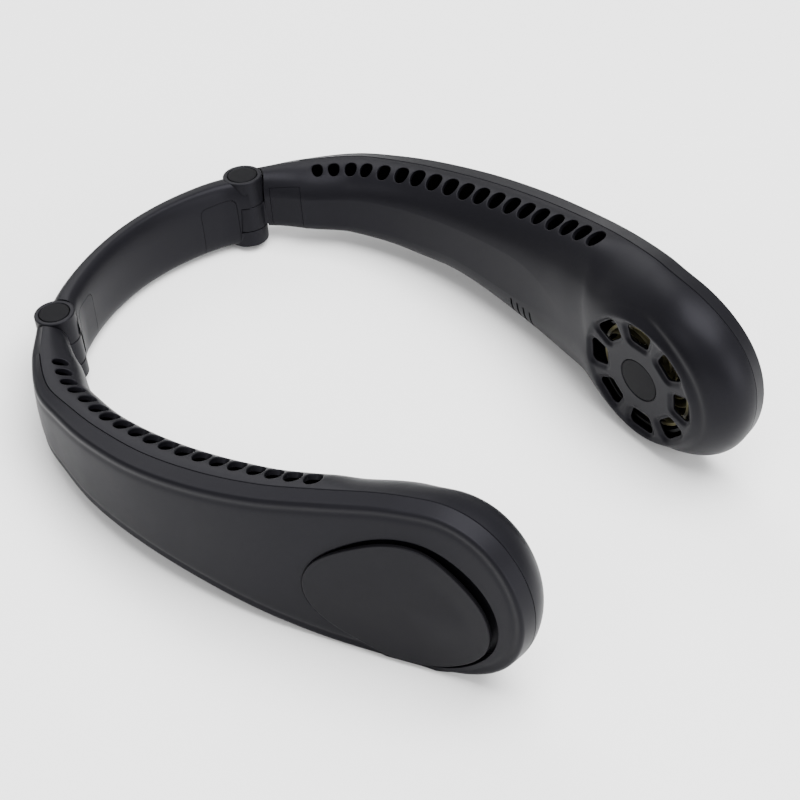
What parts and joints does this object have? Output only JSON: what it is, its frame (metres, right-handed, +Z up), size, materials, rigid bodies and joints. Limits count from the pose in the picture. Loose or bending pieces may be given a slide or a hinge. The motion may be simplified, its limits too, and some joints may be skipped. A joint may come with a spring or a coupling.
{
  "type": "neck fan",
  "caption": "Dark electric neck fan: a short bridge, two hinged arms with a row of top vents, and a round grilled blower in each head.",
  "frame": {"origin": "centre of the bounding box at table level, between the two arms", "axes": "+Z up, +Y towards the bridge at the nape, -Y where the wearer looks, +X the wearer's left; the part is symmetric about the plane x = 0 apart from the controls"},
  "size_m": [0.198, 0.2273, 0.0687],
  "materials": {
    "shell": "fine satin moulded plastic",
    "panel": "fine satin moulded plastic",
    "cap": "fine satin moulded plastic, slightly darker",
    "plate": "fine satin moulded plastic, slightly lighter",
    "inner_plastic": "plain black moulded plastic",
    "copper_winding": "enamelled copper winding",
    "battery_wrap": "shrink-wrapped cell",
    "fan_plastic": "slightly clear greyish olive plastic",
    "rotor_steel": "plain steel",
    "screw_steel": "blackened steel",
    "button": "soft dark rubber",
    "socket_steel": "bright steel",
    "light_pipe": "clear light pipe",
    "board": "green solder mask",
    "wire_sheath": "red sheath"
  },
  "bodies": {
    "bridge": {"bridge_inner_shell": "shell", "bridge_outer_shell": "shell", "bridge_wire": "wire_sheath", "left_hinge_fork": "shell", "left_hinge_pin": "rotor_steel", "left_hinge_cap": "cap", "left_hinge_screw": "screw_steel", "left_bridge_cover": "panel", "right_hinge_fork": "shell", "right_hinge_pin": "rotor_steel", "right_hinge_cap": "cap", "right_hinge_screw": "screw_steel", "right_bridge_cover": "panel"},
    "left_arm": {"left_arm_inner_shell": "shell", "left_arm_outer_shell": "shell", "left_hinge_tab": "shell", "left_arm_cover": "panel", "left_outer_plate": "plate", "left_grille_disc": "cap", "left_air_duct": "inner_plastic", "left_blower_housing": "inner_plastic", "left_motor_stator": "copper_winding", "left_battery": "battery_wrap"},
    "left_fan": {"left_impeller": "fan_plastic", "left_motor_rotor": "rotor_steel"},
    "right_arm": {"right_arm_inner_shell": "shell", "right_arm_outer_shell": "shell", "right_hinge_tab": "shell", "right_arm_cover": "panel", "right_outer_plate": "plate", "right_grille_disc": "cap", "right_air_duct": "inner_plastic", "right_blower_housing": "inner_plastic", "right_motor_stator": "copper_winding", "right_battery": "battery_wrap", "right_usb_socket": "socket_steel", "right_socket_tongue": "inner_plastic", "right_status_light": "light_pipe", "right_control_board": "board"},
    "right_fan": {"right_impeller": "fan_plastic", "right_motor_rotor": "rotor_steel"},
    "power_button": {"right_power_button": "button"}
  },
  "joints": [
    {"name": "left_hinge", "type": "hinge", "parent": "bridge", "child": "left_arm", "pos_m": [0.05, 0.09935, 0.02752], "axis": [0.0414, 0.2127, 0.9762], "range_deg": [-12, 20]},
    {"name": "right_hinge", "type": "hinge", "parent": "bridge", "child": "right_arm", "pos_m": [-0.05, 0.09935, 0.02752], "axis": [0.0414, -0.2127, -0.9762], "range_deg": [-12, 20]},
    {"name": "left_fan_spin", "type": "hinge", "parent": "left_arm", "child": "left_fan", "pos_m": [0.054, -0.07243, 0.03048], "axis": [-0.9768, 0.1827, -0.1119], "continuous": true},
    {"name": "right_fan_spin", "type": "hinge", "parent": "right_arm", "child": "right_fan", "pos_m": [-0.054, -0.07243, 0.03048], "axis": [0.9768, 0.1827, -0.1119], "continuous": true},
    {"name": "power_button_press", "type": "slide", "parent": "right_arm", "child": "power_button", "axis": [0, 0.0859, 0.9963], "range_m": [0, 0.0006], "stiffness_N_per_m": 600, "springref_m": -0.0005}
  ]
}
